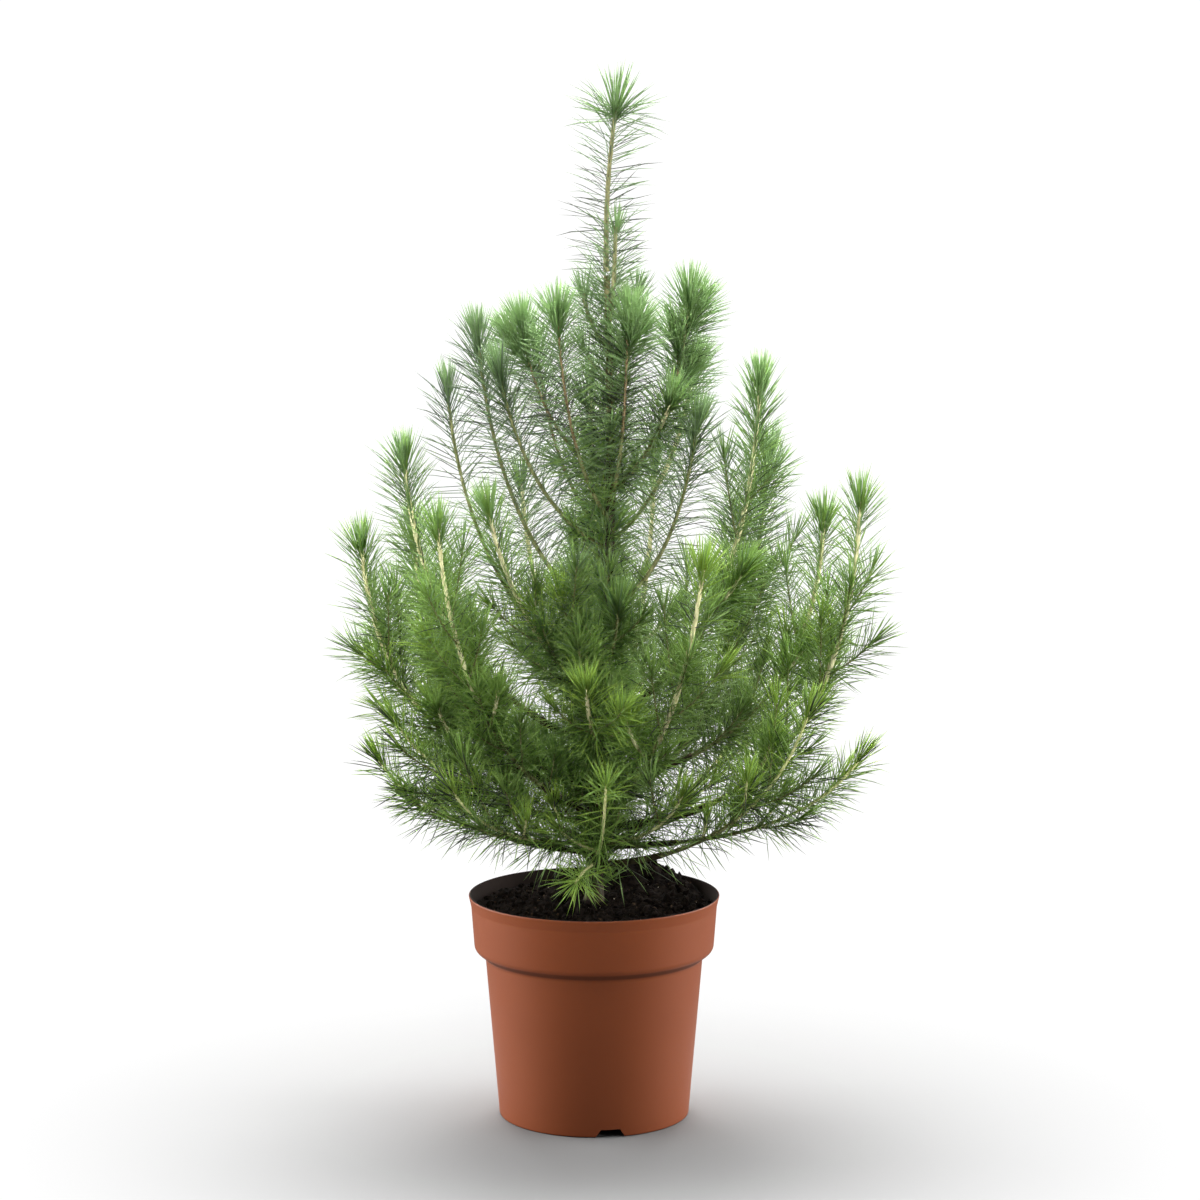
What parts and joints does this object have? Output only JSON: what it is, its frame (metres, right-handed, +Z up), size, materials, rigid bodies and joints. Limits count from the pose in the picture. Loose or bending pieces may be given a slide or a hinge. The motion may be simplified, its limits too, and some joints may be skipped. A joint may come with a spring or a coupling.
{
  "type": "potted italian stone pine",
  "caption": "Young stone pine with soft seedling needles on upswept shoots round one trunk, in a round soil-filled nursery pot.",
  "frame": {"origin": "centre of the pot's flat underside, on the ground", "axes": "+Z up the trunk, -Y towards the front of the plant, +X to its right"},
  "size_m": [0.3173, 0.2652, 0.5835],
  "materials": {
    "pot": "terracotta-coloured injection-moulded plastic, satin",
    "soil": "moist dark peat, matt and crumbly",
    "bark": "thin young bark, brown at the foot, yellow-green towards the tips",
    "needles": "soft green needles, satin, brighter yellow-green at the shoot tips"
  },
  "bodies": {
    "root": {"pot": "pot", "soil": "soil", "trunk": "bark", "bough_right_low": "bark", "bough_right_low_front": "bark", "bough_left_low": "bark", "bough_back_right_low": "bark", "bough_back_low": "bark", "bough_back_left_low": "bark", "bough_right_outer": "bark", "bough_right_mid": "bark", "bough_right_high": "bark", "bough_right_back": "bark", "bough_front_left": "bark", "bough_left_outer": "bark", "bough_mid_left": "bark", "bough_back_outer": "bark", "bough_back_left_outer": "bark", "foliage_right_low": "needles", "foliage_right_low_front": "needles", "foliage_front_right_low": "needles", "foliage_front": "needles", "foliage_front_lowest": "needles", "foliage_left_low_inner": "needles", "foliage_left_low": "needles", "foliage_left_low_high": "needles", "foliage_back_right_low": "needles", "foliage_back_low": "needles", "foliage_back_left_low": "needles", "foliage_right_outer": "needles", "foliage_right_mid": "needles", "foliage_right_high": "needles", "foliage_right_back": "needles", "foliage_front_right": "needles", "foliage_front_mid": "needles", "foliage_front_left": "needles", "foliage_front_left_high": "needles", "foliage_left_outer": "needles", "foliage_mid_left": "needles", "foliage_mid_left_back": "needles", "foliage_back_right": "needles", "foliage_back_left": "needles", "foliage_back_outer": "needles", "foliage_back_left_outer": "needles", "foliage_back_high": "needles", "foliage_upper_left": "needles", "foliage_upper_left_front": "needles", "foliage_upper_right": "needles", "foliage_high_left": "needles", "foliage_high_front_left": "needles", "foliage_high_front_right": "needles", "foliage_high_right": "needles", "foliage_high_back_left": "needles", "foliage_high_back_right": "needles", "foliage_crest_front": "needles", "foliage_crest_left": "needles", "foliage_crest_right": "needles", "foliage_inner_front_left": "needles", "foliage_inner_front_right": "needles", "foliage_leader": "needles"}
  },
  "joints": []
}
